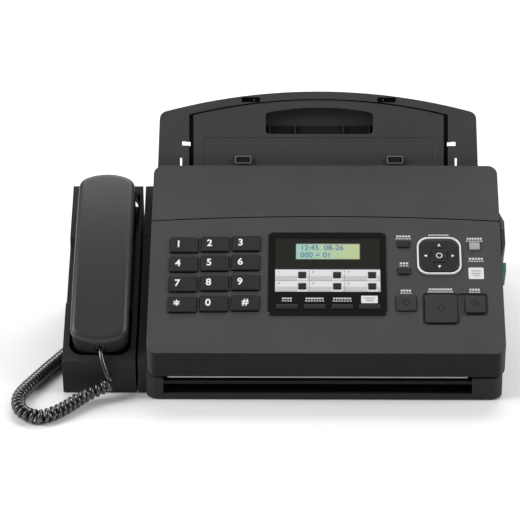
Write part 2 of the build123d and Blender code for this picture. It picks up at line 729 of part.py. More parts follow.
# ------------------------------------------------------------------ paper tray and tension plate
TRAY_FRONT, TRAY_BACK = 1.0, -11.4
CHANNEL_FLOOR = -9.0
STEM_LEFT, STEM_RIGHT = CHEEKS[0][1], CHEEKS[1][0]
SHOULDER_S = -5.0
STEM_FOOT = -30.0
RIM_RADIUS = 550.0  # the tray's top edge
with BuildPart() as paper_tray:
    with BuildSketch(TRAY.offset(TRAY_BACK)) as tray_outline:
        with BuildLine():
            ThreePointArc((TRAY_LEFT + 2, 51.0), (TRAY_MID, 69.1), (TRAY_RIGHT - 2, 51.0))
            Line((TRAY_RIGHT - 2, 51.0), (TRAY_RIGHT, SHOULDER_S))
            Line((TRAY_RIGHT, SHOULDER_S), (TRAY_LEFT, SHOULDER_S))
            Line((TRAY_LEFT, SHOULDER_S), (TRAY_LEFT + 2, 51.0))
        make_face()
        fillet(tray_outline.vertices().group_by(Axis.Y)[-1], 7)
    extrude(amount=TRAY_FRONT - TRAY_BACK)
    with BuildSketch(TRAY.offset(TRAY_BACK)):
        with Locations(((STEM_LEFT + STEM_RIGHT) / 2, (STEM_FOOT + SHOULDER_S) / 2)):
            Rectangle(STEM_RIGHT - STEM_LEFT, SHOULDER_S - STEM_FOOT)
    extrude(amount=TRAY_FRONT - TRAY_BACK)
    # paper channel
    with BuildSketch(TRAY.offset(CHANNEL_FLOOR)):
        with BuildLine():
            ThreePointArc((CHANNEL_LEFT, 49.7), (TRAY_MID, 62.7), (CHANNEL_RIGHT, 49.7))
            Line((CHANNEL_RIGHT, 49.7), (CHANNEL_RIGHT, STEM_FOOT - 1))
            Line((CHANNEL_RIGHT, STEM_FOOT - 1), (CHANNEL_LEFT, STEM_FOOT - 1))
            Line((CHANNEL_LEFT, STEM_FOOT - 1), (CHANNEL_LEFT, 49.7))
        make_face()
    extrude(amount=12, mode=Mode.SUBTRACT)
    # the wings and the stem's rails are hollow behind
    with BuildSketch(TRAY.offset(TRAY_BACK - 1)):
        for low, high in ((TRAY_LEFT, CHANNEL_LEFT), (CHANNEL_RIGHT, TRAY_RIGHT)):
            with Locations(((low + high) / 2, 20)):
                RectangleRounded(high - low - 5.5, 44, 3)
    extrude(amount=-TRAY_BACK - 0.6, mode=Mode.SUBTRACT)
    # finger slots in the rim, and the gaps beside the plate
    with BuildSketch(TRAY.offset(-3)):
        for x in (-30.3, 84.1):
            with Locations((x, 65.0 - (x - TRAY_MID) ** 2 / (2 * RIM_RADIUS))):
                RectangleRounded(15.8, 4.4, 1.2)
    extrude(amount=6, mode=Mode.SUBTRACT)
    with BuildSketch(TRAY.offset(TRAY_BACK - 1)):
        with Locations((-85.0, 25.2), (139.0, 25.0)):
            Rectangle(6.6, 3.4)
        with Locations((-89.2, 6.5), (142.5, 6.5)):
            Rectangle(1.8, 13)
    extrude(amount=14, mode=Mode.SUBTRACT)
    # sockets for the tension plate's pins
    for low, high in ((CHANNEL_LEFT - 2.4, CHANNEL_LEFT + 1), (CHANNEL_RIGHT - 1, CHANNEL_RIGHT + 2.4)):
        add(rod(low, high, on_tray(PLATE_PIVOT_S, PLATE_PIVOT_N), 1.4 + PIN_CLEARANCE), mode=Mode.SUBTRACT)
finish(paper_tray.part, "paper_tray")

PLATE_LEFT, PLATE_RIGHT = -78.6, 132.2
PLATE_FOOT = -19.4
with BuildPart() as tension_plate:
    with BuildSketch(TRAY.offset(-3)):
        with BuildLine():
            ThreePointArc((PLATE_LEFT, 49.2), (TRAY_MID, 61.7), (PLATE_RIGHT, 49.2))
            Line((PLATE_RIGHT, 49.2), (PLATE_RIGHT, PLATE_FOOT))
            Line((PLATE_RIGHT, PLATE_FOOT), (PLATE_LEFT, PLATE_FOOT))
            Line((PLATE_LEFT, PLATE_FOOT), (PLATE_LEFT, 49.2))
        make_face()
    extrude(amount=3)
    # handle opening with an arched top
    with BuildSketch(TRAY.offset(-4)) as grip:
        with BuildLine():
            ThreePointArc((-17.9, 51.0), (27.4, 55.6), (72.8, 51.0))
            Line((72.8, 51.0), (72.8, 33.2))
            Line((72.8, 33.2), (-17.9, 33.2))
            Line((-17.9, 33.2), (-17.9, 51.0))
        make_face()
        fillet(grip.vertices(), 3.2)
    extrude(amount=5, mode=Mode.SUBTRACT)
    # shallow panel pressed into the face
    with BuildSketch(TRAY.offset(-0.4)):
        with Locations((26.6, 8.0)):
            RectangleRounded(195, 45, 4)
    extrude(amount=1, mode=Mode.SUBTRACT)
    # two guide clips near the foot
    with BuildSketch(TRAY.offset(-0.6)):
        with Locations((-36.7, 11.5), (91.3, 11.5)):
            RectangleRounded(13.6, 6.4, 1.6)
    extrude(amount=2.2)
    for low, high in ((CHANNEL_LEFT - 2.2, PLATE_LEFT + 1), (PLATE_RIGHT - 1, CHANNEL_RIGHT + 2.2)):
        add(rod(low, high, on_tray(PLATE_PIVOT_S, PLATE_PIVOT_N), 1.4))
finish(tension_plate.part, "tension_plate")

# ------------------------------------------------------------------ release lever
def slope_bar(x_low, x_high, v_low, v_high, w_low, w_high):
    """A bar square to the slope."""
    corners = ((v_low, w_low), (v_high, w_low), (v_high, w_high), (v_low, w_high))
    return prism(x_low, x_high, [on_slope(v, w) for v, w in corners])


LEVER_LOW, LEVER_HIGH = 84.2, 90.8  # up the slope
with BuildPart() as release_lever:
    add(slope_bar(CASE_RIGHT - 7, RIGHT, LEVER_LOW, LEVER_HIGH, -28.6, -25.6))
    add(slope_bar(PANEL_RIGHT + 0.8, RIGHT, LEVER_LOW, LEVER_HIGH, -28.6, -5.0))
    add(slope_bar(CASE_RIGHT - 7, CASE_RIGHT - 4.8, LEVER_LOW - 3.2, LEVER_HIGH + 3.2, -30.5, -23.6))
finish(release_lever.part, "release_lever")

# ------------------------------------------------------------------ handset cradle
EAR_V, MOUTH_V = (134.0, 179.5), (22.0, 66.0)
WELL_W = 50.0
WELL_FLOOR = -17.0
GRIP_FLOOR = -7.4  # leaves room for fingers under the handset's grip
HOOK_V = 158.0
cradle_block = prism(
    LEFT, CRADLE_RIGHT, [from_front(10.2, 0.8), on_cradle(11.6), on_cradle(185.6), from_front(163.9, 0.8)]
)
cradle_room = prism(
    LEFT + CASE_WALL,
    CRADLE_RIGHT - CASE_WALL,
    [from_front(12.7, -1), on_cradle(14.6, -2.6), on_cradle(182.6, -2.6), from_front(161.3, -1)],
)


def well_block(grow, floor, top, spans, corner=6.0):
    """The handset's resting wells in the cradle, as one solid."""
    with BuildPart() as wells:
        for low, high in spans:
            with BuildSketch(CRADLE.offset(floor)):
                with Locations((HANDSET_X, (low + high) / 2)):
                    RectangleRounded(WELL_W + 2 * grow, high - low + 2 * grow, corner + grow)
            extrude(amount=top - floor)
    return wells.part


# the bay in the left wall that the cord runs into, and the socket in the bay's rear wall
BAY_FRONT, BAY_REAR = 42.0, 104.0
SOCKET_X, SOCKET_Z = -174.5, 10.0
bay_lining = prism(
    LEFT,
    -167.0,
    [from_front(y, z) for y, z in ((40, 0.8), (118, 0.8), (118, 17), (40, 17))],
)
cord_bay = prism(
    LEFT - 1,
    -169.0,
    [from_front(y, z) for y, z in ((BAY_FRONT, -1), (BAY_REAR, -1), (BAY_REAR, 15), (BAY_FRONT, 15))],
)
well_spans = (EAR_V, MOUTH_V)
grip_span = ((18.0, 180.5),)
with BuildPart() as handset_cradle:
    add(cradle_block)
    add(cradle_room, mode=Mode.SUBTRACT)
    add(well_block(2.4, WELL_FLOOR - 2.4, -1, well_spans) & cradle_block)
    add(well_block(2.4, GRIP_FLOOR - 4.0, -1, grip_span, 2) & cradle_block)
    add(bay_lining & cradle_block)
    add(well_block(0, WELL_FLOOR, 5, well_spans), mode=Mode.SUBTRACT)
    add(well_block(0, GRIP_FLOOR, 5, grip_span, 11), mode=Mode.SUBTRACT)
    # finger scoop in the left wall, and the pocket beside the earpiece
    with BuildSketch(side_plane(LEFT - 1)):
        with BuildLine():
            Polyline(
                on_cradle(66, 1), on_cradle(73, -6.4), on_cradle(127, -6.4), on_cradle(134, 1), close=True
            )
        make_face()
    extrude(amount=8, mode=Mode.SUBTRACT)
    with BuildSketch(CRADLE.offset(-9)):
        with Locations((HANDSET_X + WELL_W / 2, 161)):
            RectangleRounded(3.6, 32, 1.7)
    extrude(amount=10, mode=Mode.SUBTRACT)
    # hook switch bore, the cord's bay and its socket
    with BuildSketch(CRADLE.offset(-25)):
        with Locations((HANDSET_X, HOOK_V)):
            Circle(PIN_R + PIN_CLEARANCE)
    extrude(amount=10, mode=Mode.SUBTRACT)
    add(cord_bay, mode=Mode.SUBTRACT)
    with BuildSketch(Plane.XZ.offset(-FRONT - BAY_REAR + 1)):
        with Locations((SOCKET_X, SOCKET_Z)):
            Rectangle(8.2, 7.2)
    extrude(amount=-13, mode=Mode.SUBTRACT)
    # tabs that hold the cradle to the body
    for y in (50.0, 130.0):
        tab = [from_front(y + a, z) for a, z in ((0, 8), (14, 8), (14, 22), (0, 22))]
        add(prism(CRADLE_RIGHT - 1, TRIM_LEFT, tab))
finish(handset_cradle.part, "handset_cradle")

with BuildPart() as hook_switch:
    with BuildSketch(CRADLE.offset(-25)):
        with Locations((HANDSET_X, HOOK_V)):
            Circle(PIN_R)
    extrude(amount=10.7)
    fillet(hook_switch.faces().sort_by(Axis.Z)[-1].edges(), 1.0)
    with BuildSketch(CRADLE.offset(-25)):
        with Locations((HANDSET_X, HOOK_V)):
            Circle(5)
    extrude(amount=1.6)
finish(hook_switch.part, "hook_switch")

# ------------------------------------------------------------------ handset
HS_FRONT, HS_REAR = 20.0, 186.0
PARTING = 13.0
EAR_UNDER = -14.0
half = HANDSET_WIDTH / 2
plug_face = CRADLE.from_local_coords((HANDSET_X + 1, 22.5, 5.0))


def handset_plan(inset, low, high):
    """The handset seen square to the cradle, extruded between two heights."""
    left = HANDSET_X - half + inset
    right = HANDSET_X + half - inset
    with BuildPart() as body:
        with BuildSketch(CRADLE.offset(low)) as plan:
            with BuildLine():
                ThreePointArc((left, HS_REAR - 8), (HANDSET_X, HS_REAR - inset), (right, HS_REAR - 8))
                Line((right, HS_REAR - 8), (right, HS_FRONT + 7))
                ThreePointArc((right, HS_FRONT + 7), (HANDSET_X, HS_FRONT + inset), (left, HS_FRONT + 7))
                Line((left, HS_FRONT + 7), (left, HS_REAR - 8))
            make_face()
            fillet(plan.vertices(), 11)
        extrude(amount=high - low)
    return body.part


def handset_side(points):
    """A slice of the handset's side outline, in cradle coordinates."""
    return prism(HANDSET_X - half - 1, HANDSET_X + half + 1, [on_cradle(v, w) for v, w in points])


lower_side = handset_side(
    [
        (19, PARTING), (19, -1), (28, -9), (34, EAR_UNDER), (55, EAR_UNDER), (64, -3), (72, 0.5),
        (131, 0.5), (137, -3), (145, EAR_UNDER), (173, EAR_UNDER), (178, 0.8), (187, 3), (187, PARTING),
    ]
)
with BuildPart() as upper_side:
    with BuildSketch(side_plane(HANDSET_X - half - 1)):
        with BuildLine():
            Polyline(*[on_cradle(v, w) for v, w in ((187, 18.5), (187, PARTING), (19, PARTING), (19, 18.8))])
            ThreePointArc(on_cradle(19, 18.8), on_cradle(103, 24.6), on_cradle(187, 18.5))
        make_face()
    extrude(amount=HANDSET_WIDTH + 2)
with BuildPart() as handset_lower_shell:
    add(handset_plan(0.6, EAR_UNDER - 1, PARTING))
    add(lower_side, mode=Mode.INTERSECT)
    add(handset_plan(3.0, 4.6, PARTING + 1), mode=Mode.SUBTRACT)
    # the cord's socket
    with BuildSketch(Plane(plug_face, x_dir=(1, 0, 0), z_dir=UP_SLOPE).offset(-4)):
        Rectangle(9.0, 7.0)
    extrude(amount=18, mode=Mode.SUBTRACT)
finish(handset_lower_shell.part, "handset_lower_shell")

with BuildPart() as handset_upper_shell:
    add(handset_plan(0, PARTING, 30))
    add(upper_side.part, mode=Mode.INTERSECT)
    crown_edges = handset_upper_shell.edges().filter_by(
        lambda edge: CRADLE.to_local_coords(edge.center()).Z > 17
    )
    fillet(crown_edges, 4.5)
    add(handset_plan(2.6, PARTING - 1, PARTING + 4), mode=Mode.SUBTRACT)
finish(handset_upper_shell.part, "handset_upper_shell")

# ------------------------------------------------------------------ handset cord
with BuildPart() as handset_plug:
    with BuildSketch(Plane(plug_face, x_dir=(1, 0, 0), z_dir=UP_SLOPE)):
        Rectangle(7.7, 6.2)
    extrude(amount=11)
finish(handset_plug.part, "handset_plug")

with BuildPart() as cradle_plug:
    with BuildSketch(Plane.XZ.offset(-FRONT - BAY_REAR + 1)):
        with Locations((SOCKET_X, SOCKET_Z)):
            Rectangle(7.7, 6.6)
    extrude(amount=-11)
finish(cradle_plug.part, "cradle_plug")


def tube(name, points, diameter):
    """A cord's tube: straight runs joined by the largest arcs that fit."""
    runs = [b - a for a, b in zip(points, points[1:])]
    radii = []
    for before, after in zip(runs, runs[1:]):
        turn = radians(before.get_angle(after))
        radii.append(0.45 * min(before.length, after.length) / (sin(turn / 2) / cos(turn / 2)))
    print(name, "arc radii", [round(radius, 1) for radius in radii])
    with BuildPart() as cord:
        with BuildLine() as path:
            FilletPolyline(*points, radius=radii)
        with BuildSketch(Plane(path.line @ 0, z_dir=path.line % 0)):
            Circle(diameter / 2)
        sweep()
    length = sum(edge.length for edge in path.edges())
    section = pi * diameter**2 / 4
    print(name, "length", round(length), "volume", round(cord.part.volume), "of", round(length * section))
    finish(cord.part, name)


COIL_ROUTE = [
    (-140.5, 2.0, 13.5), (-152.0, -2.5, 10.2), (-161.4, -7.0, 7.8), (-170.2, -16.8, 6.2),
    (-178.8, -27.0, 6.0), (-187.4, -34.2, 6.0), (-195.4, -37.0, 6.0), (-203.6, -34.6, 6.0),
    (-210.6, -27.2, 6.0), (-214.0, -17.2, 6.0), (-214.2, -6.4, 6.0), (-210.6, 5.0, 6.0),
    (-203.6, 19.4, 6.0), (-195.6, 36.6, 6.0), (-187.0, 53.0, 6.1), (-178.0, 70.0, 6.4),
]
coil_points = [Vector(x, FRONT + y, z) for x, y, z in COIL_ROUTE]
LEAD_ROUTE = [(-143.6, 1.4, 22.6), (-140.5, 2.0, 13.5)]
out_of_plug = Vector(*plug_face) - Vector(*UP_SLOPE) * 7.0
lead_points = [Vector(*plug_face), out_of_plug] + [
    Vector(x, FRONT + y, z) for x, y, z in LEAD_ROUTE
]
TAIL_ROUTE = [(-178.0, 70.0, 6.4), (-175.8, 79.0, 7.6), (-174.8, 88.0, 9.2), (SOCKET_X, 96.0, SOCKET_Z)]
socket_face = Vector(SOCKET_X, FRONT + BAY_REAR - 1, SOCKET_Z)
tail_points = [Vector(x, FRONT + y, z) for x, y, z in TAIL_ROUTE] + [socket_face]
tube("handset_cord_coil", coil_points, COIL_D)
tube("handset_cord_lead", lead_points, CORD_D)
tube("handset_cord_tail", tail_points, CORD_D)
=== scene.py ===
import math

import bmesh
import bpy
from mathutils import Matrix, Vector


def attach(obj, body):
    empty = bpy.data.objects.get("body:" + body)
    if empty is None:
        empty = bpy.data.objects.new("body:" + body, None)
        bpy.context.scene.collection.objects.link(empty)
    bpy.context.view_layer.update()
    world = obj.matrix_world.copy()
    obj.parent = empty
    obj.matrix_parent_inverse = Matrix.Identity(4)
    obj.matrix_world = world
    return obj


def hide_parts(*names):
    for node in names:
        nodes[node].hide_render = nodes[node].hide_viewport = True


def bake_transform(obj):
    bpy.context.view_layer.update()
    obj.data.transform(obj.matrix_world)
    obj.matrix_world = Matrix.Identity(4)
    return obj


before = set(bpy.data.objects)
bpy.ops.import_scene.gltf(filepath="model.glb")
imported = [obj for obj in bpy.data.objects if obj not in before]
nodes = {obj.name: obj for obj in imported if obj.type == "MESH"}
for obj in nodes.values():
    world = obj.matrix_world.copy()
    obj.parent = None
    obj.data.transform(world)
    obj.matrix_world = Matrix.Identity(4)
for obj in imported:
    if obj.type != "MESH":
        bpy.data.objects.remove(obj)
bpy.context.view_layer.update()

# ---------------------------------------------------------------- places, as in the CAD, in mm
MM = 0.001
FRONT = -113.0
SLOPE = math.radians(28.0)
PANEL_TOP = 43.3
CRADLE_DROP = 17.3
LEAN = math.radians(62.0)
TRAY_Y, TRAY_Z = 57.0, 120.0
UP_SLOPE = Vector((0.0, math.cos(SLOPE), math.sin(SLOPE)))
OUT_OF_SLOPE = Vector((0.0, -math.sin(SLOPE), math.cos(SLOPE)))


def on_panel(x, v, w=0.0):
    """A point on the control panel: across, up the slope, above the surface."""
    return (Vector((x, FRONT, PANEL_TOP)) + UP_SLOPE * v + OUT_OF_SLOPE * w) * MM


def on_cradle(x, v, w=0.0):
    start = Vector((x, FRONT, PANEL_TOP - CRADLE_DROP / math.cos(SLOPE)))
    return (start + UP_SLOPE * v + OUT_OF_SLOPE * w) * MM


def on_tray(x, s, n=0.0):
    up = Vector((0.0, math.cos(LEAN), math.sin(LEAN)))
    out = Vector((0.0, -math.sin(LEAN), math.cos(LEAN)))
    return (Vector((x, TRAY_Y, TRAY_Z)) + up * s + out * n) * MM


def facing_front(x, z, out=0.0):
    """A point on the front face: across, up, and in front of it."""
    return Vector((x, FRONT - out, z)) * MM


# ---------------------------------------------------------------- camera
LENS = 169.58
CAMERA_PLACE = Vector((0.01657, -1.8027, 1.0262))
ROLL = -0.0085
camera_data = bpy.data.cameras.new("camera")
camera = bpy.data.objects.new("camera", camera_data)
bpy.context.scene.collection.objects.link(camera)
camera_data.sensor_width = 36.0
camera_data.lens = LENS
camera_data.clip_start = 0.1
camera_data.clip_end = 30.0
forward = Vector((-0.01885, 0.88275, -0.46947)).normalized()
level_right = forward.cross(Vector((0, 0, 1))).normalized()
level_up = level_right.cross(forward)
camera_right = level_right * math.cos(ROLL) + level_up * math.sin(ROLL)
camera_up = level_up * math.cos(ROLL) - level_right * math.sin(ROLL)
turn = Matrix((camera_right, camera_up, -forward)).transposed().to_4x4()
camera.matrix_world = Matrix.Translation(CAMERA_PLACE) @ turn
bpy.context.scene.camera = camera


# ---------------------------------------------------------------- materials
def linear(*rgb):
    """A display colour from 0 to 255 as scene-linear."""
    out = []
    for value in rgb:
        share = value / 255.0
        out.append(share / 12.92 if share <= 0.04045 else ((share + 0.055) / 1.055) ** 2.4)
    return (*out, 1.0)


def plastic(name, rgb, rough=0.5, grain=0.45, bump=0.25, speckle=0.10, edge_rub_and_highlight=0.35, edge=0.5,
            coat=0.0, metallic=0.0, specular=0.5, sheen=0.0):
    """Moulded plastic or painted metal: fine grain, slow tone changes, lighter edges that are part rubbing
    and part painted highlight. In mm.
    """
    material = bpy.data.materials.new(name)
    material.use_nodes = True
    tree = material.node_tree
    make, join = tree.nodes.new, tree.links.new
    shader = tree.nodes["Principled BSDF"]
    shader.inputs["Metallic"].default_value = metallic
    shader.inputs["Coat Weight"].default_value = coat
    shader.inputs["Coat Roughness"].default_value = 0.12
    shader.inputs["Specular IOR Level"].default_value = specular
    shader.inputs["Sheen Weight"].default_value = sheen
    place = make("ShaderNodeTexCoord")
    fine = make("ShaderNodeTexNoise")
    fine.inputs["Scale"].default_value = 1000.0 / grain
    fine.inputs["Detail"].default_value = 2.0
    broad = make("ShaderNodeTexNoise")
    broad.inputs["Scale"].default_value = 22.0
    broad.inputs["Detail"].default_value = 3.0
    join(place.outputs["Object"], fine.inputs["Vector"])
    join(place.outputs["Object"], broad.inputs["Vector"])
    # colour: the base, a little darker or lighter with both noises
    tone = make("ShaderNodeMix")
    tone.data_type = "RGBA"
    base = linear(*rgb)
    tone.inputs[6].default_value = tuple(c * (1.0 - speckle) for c in base[:3]) + (1.0,)
    tone.inputs[7].default_value = tuple(min(c * (1.0 + speckle), 1.0) for c in base[:3]) + (1.0,)
    blend = make("ShaderNodeMath")
    blend.operation = "MULTIPLY_ADD"
    blend.inputs[1].default_value = 0.65
    slow = make("ShaderNodeMath")
    slow.operation = "MULTIPLY"
    slow.inputs[1].default_value = 0.35
    join(broad.outputs["Fac"], slow.inputs[0])
    join(fine.outputs["Fac"], blend.inputs[0])
    join(slow.outputs[0], blend.inputs[2])
    stretch = make("ShaderNodeMapRange")
    stretch.inputs["From Min"].default_value = 0.3
    stretch.inputs["From Max"].default_value = 0.7
    join(blend.outputs[0], stretch.inputs["Value"])
    join(stretch.outputs["Result"], tone.inputs["Factor"])
    # lighter edges, part rubbing and part painted highlight: where the rounded normal leaves the true one
    soft = make("ShaderNodeBevel")
    soft.samples = 6
    soft.inputs["Radius"].default_value = edge * MM
    true = make("ShaderNodeNewGeometry")
    dot = make("ShaderNodeVectorMath")
    dot.operation = "DOT_PRODUCT"
    join(soft.outputs["Normal"], dot.inputs[0])
    join(true.outputs["Normal"], dot.inputs[1])
    rubbed_and_highlit_edge_mask = make("ShaderNodeMapRange")
    rubbed_and_highlit_edge_mask.inputs["From Min"].default_value = 0.985
    rubbed_and_highlit_edge_mask.inputs["From Max"].default_value = 0.80
    rubbed_and_highlit_edge_mask.inputs["To Max"].default_value = edge_rub_and_highlight
    join(dot.outputs["Value"], rubbed_and_highlit_edge_mask.inputs["Value"])
    rubbed_and_highlit_edge = make("ShaderNodeMix")
    rubbed_and_highlit_edge.data_type = "RGBA"
    rubbed_and_highlit_edge.inputs[7].default_value = tuple(min(c * 2.2 + 0.03, 1.0) for c in base[:3]) + (1.0,)
    join(rubbed_and_highlit_edge_mask.outputs["Result"], rubbed_and_highlit_edge.inputs["Factor"])
    join(tone.outputs[2], rubbed_and_highlit_edge.inputs[6])
    join(rubbed_and_highlit_edge.outputs[2], shader.inputs["Base Color"])
    # roughness and grain
    matt = make("ShaderNodeMapRange")
    matt.inputs["To Min"].default_value = max(rough - 0.07, 0.03)
    matt.inputs["To Max"].default_value = min(rough + 0.07, 1.0)
    join(fine.outputs["Fac"], matt.inputs["Value"])
    join(matt.outputs["Result"], shader.inputs["Roughness"])
    relief = make("ShaderNodeBump")
    relief.inputs["Strength"].default_value = bump
    relief.inputs["Distance"].default_value = 0.04 * MM
    join(fine.outputs["Fac"], relief.inputs["Height"])
    join(soft.outputs["Normal"], relief.inputs["Normal"])
    join(relief.outputs["Normal"], shader.inputs["Normal"])
    return material


cover = plastic("cover_plastic", (67, 67, 68), rough=0.62, grain=0.55, bump=0.30, speckle=0.20, edge_rub_and_highlight=0.45,
                specular=0.16)
case = plastic("case_plastic", (50, 51, 52), rough=0.58, grain=0.5, bump=0.25, speckle=0.12, edge_rub_and_highlight=0.45,
               specular=0.12)
tray = plastic("tray_plastic", (69, 71, 71), rough=0.55, grain=0.5, bump=0.25, speckle=0.10, edge_rub_and_highlight=0.55,
               specular=0.2)
handset_skin = plastic("handset_plastic", (52, 53, 54), rough=0.36, grain=0.4, bump=0.15, speckle=0.14,
                       edge_rub_and_highlight=0.50, edge=1.2, specular=0.4)
key_black = plastic("key_black", (21, 24, 23), rough=0.38, grain=0.3, bump=0.10, speckle=0.10,
                    edge_rub_and_highlight=0.55, edge=0.4)
key_charcoal = plastic("key_charcoal", (47, 47, 48), rough=0.5, grain=0.4, bump=0.2, speckle=0.12, edge_rub_and_highlight=0.45,
                       specular=0.25)
key_light = plastic("key_light", (158, 159, 158), rough=0.45, grain=0.4, bump=0.15, speckle=0.04, edge_rub_and_highlight=0.1)
pad_black = plastic("pad_black", (28, 30, 30), rough=0.34, grain=0.3, bump=0.08, speckle=0.10,
                    edge_rub_and_highlight=0.55, edge=0.6)
bezel = plastic("bezel_gloss", (14, 17, 17), rough=0.16, grain=0.8, bump=0.03, speckle=0.08, edge_rub_and_highlight=0.35,
                edge=0.4, coat=0.1)
window = plastic("window_smoke", (31, 31, 27), rough=0.20, grain=1.0, bump=0.02, speckle=0.06,
                 edge_rub_and_highlight=0.1, coat=0.3)
lever_green = plastic("lever_green", (60, 130, 110), rough=0.35, grain=0.5, bump=0.1, speckle=0.06, edge_rub_and_highlight=0.3)
hook_skin = plastic("hook_plastic", (34, 35, 36), rough=0.3, grain=0.5, bump=0.1, speckle=0.08, edge_rub_and_highlight=0.3)
foot_rubber = plastic("foot_rubber", (26, 26, 26), rough=0.85, grain=0.7, bump=0.5, speckle=0.15,
                      edge_rub_and_highlight=0.1, sheen=0.1)
roller_rubber = plastic("roller_rubber", (44, 44, 46), rough=0.75, grain=0.5, bump=0.5, speckle=0.12,
                        edge_rub_and_highlight=0.1)
steel = plastic("zinc_steel", (176, 178, 180), rough=0.34, grain=1.2, bump=0.08, speckle=0.10,
                edge_rub_and_highlight=0.2, metallic=1.0)
aluminium = plastic("aluminium", (190, 192, 194), rough=0.4, grain=0.6, bump=0.12, speckle=0.08, edge_rub_and_highlight=0.2,
                    metallic=1.0)
circuit = plastic("circuit_board", (26, 84, 50), rough=0.42, grain=0.9, bump=0.2, speckle=0.25, edge_rub_and_highlight=0.1)
speaker_skin = plastic("speaker_black", (34, 34, 36), rough=0.7, grain=1.0, bump=0.4, speckle=0.15, edge_rub_and_highlight=0.2)
sensor_skin = plastic("sensor_black", (28, 28, 30), rough=0.25, grain=0.8, bump=0.05, speckle=0.08, edge_rub_and_highlight=0.2)
ink_film = plastic("ink_film", (24, 24, 27), rough=0.22, grain=2.5, bump=0.3, speckle=0.15, edge_rub_and_highlight=0.1)
cord_skin = plastic("cord_black", (30, 31, 32), rough=0.26, grain=1.4, bump=0.08, speckle=0.12, edge_rub_and_highlight=0.0,
                    edge=0.05, coat=0.6, specular=0.8)
plug_skin = plastic("plug_clear", (92, 96, 98), rough=0.18, grain=0.8, bump=0.05, speckle=0.08,
                    edge_rub_and_highlight=0.3, coat=0.3)
silver = plastic("silver_ring", (232, 233, 233), rough=0.30, grain=0.5, bump=0.06, speckle=0.03, edge_rub_and_highlight=0.1)
# white for print, and for the painted highlights in the rim slots
ink_and_highlight_white = plastic("print_and_highlight_white", (236, 238, 238), rough=0.55, grain=0.4, bump=0.1, speckle=0.03, edge_rub_and_highlight=0.0)
ink_soft = plastic("printed_soft_white", (206, 208, 208), rough=0.55, grain=0.4, bump=0.1,
                   speckle=0.04, edge_rub_and_highlight=0.0)
ink_grey = plastic("printed_grey", (140, 142, 142), rough=0.55, grain=0.4, bump=0.1, speckle=0.04, edge_rub_and_highlight=0.0)
ink_dark = plastic("printed_dark", (34, 36, 37), rough=0.5, grain=0.4, bump=0.1, speckle=0.05, edge_rub_and_highlight=0.0)
card_white = plastic("card_white", (218, 215, 219), rough=0.6, grain=0.6, bump=0.15, speckle=0.02, edge_rub_and_highlight=0.0)
card_grey = plastic("card_grey", (188, 186, 189), rough=0.6, grain=0.6, bump=0.15, speckle=0.02, edge_rub_and_highlight=0.0)
strip_white = plastic("strip_white", (206, 208, 208), rough=0.4, grain=0.5, bump=0.1, speckle=0.03, edge_rub_and_highlight=0.0)
# painted shade for the handle pocket's floor and ribs
pocket_shade_grey = plastic("pocket_shade_grey", (38, 43, 43), rough=0.6, grain=0.5, bump=0.2, speckle=0.1, edge_rub_and_highlight=0.2)
# painted shade for the gaps round the large keys
key_well_shade_colour = plastic("key_well_shade_colour", (26, 34, 36), rough=0.5, grain=0.5, bump=0.1, speckle=0.1, edge_rub_and_highlight=0.2)
deep_black = plastic("deep_black", (8, 8, 9), rough=0.9, grain=1.0, bump=0.3, speckle=0.1, edge_rub_and_highlight=0.0)
lcd_ink = plastic("lcd_ink", (52, 92, 168), rough=0.4, grain=0.5, bump=0.02, speckle=0.04, edge_rub_and_highlight=0.0)


def lcd_face():
    """The display's pale green glass, which turns yellower towards the right, with its rows of dots."""
    material = plastic("lcd_glass", (168, 190, 160), rough=0.3, grain=0.7, bump=0.02, speckle=0.03, edge_rub_and_highlight=0.0)
    tree = material.node_tree
    make, join = tree.nodes.new, tree.links.new
    shader = tree.nodes["Principled BSDF"]
    place = make("ShaderNodeTexCoord")
    split = make("ShaderNodeSeparateXYZ")
    join(place.outputs["Object"], split.inputs[0])
    along = make("ShaderNodeMapRange")
    along.inputs["From Min"].default_value = 8.3 * MM
    along.inputs["From Max"].default_value = 60.3 * MM
    join(split.outputs["X"], along.inputs["Value"])
    colour = make("ShaderNodeMix")
    colour.data_type = "RGBA"
    colour.inputs[6].default_value = linear(148, 190, 178)
    colour.inputs[7].default_value = linear(182, 190, 134)
    join(along.outputs["Result"], colour.inputs["Factor"])
    wave = make("ShaderNodeTexWave")
    wave.bands_direction = "X"
    wave.inputs["Scale"].default_value = 1000.0 / 3.14 / 3.0
    join(place.outputs["Object"], wave.inputs["Vector"])
    dim = make("ShaderNodeMix")
    dim.data_type = "RGBA"
    dim.inputs[7].default_value = linear(150, 172, 140)
    shade = make("ShaderNodeMath")
    shade.operation = "MULTIPLY"
    shade.inputs[1].default_value = 0.25
    join(wave.outputs["Fac"], shade.inputs[0])
    join(shade.outputs[0], dim.inputs["Factor"])
    join(colour.outputs[2], dim.inputs[6])
    join(dim.outputs[2], shader.inputs["Base Color"])
    # painted light: the glass glows faintly in its own colour, which brightens the display
    shader.inputs["Emission Color"].default_value = linear(168, 190, 160)
    shader.inputs["Emission Strength"].default_value = 0.12
    return material


lcd_glass = lcd_face()


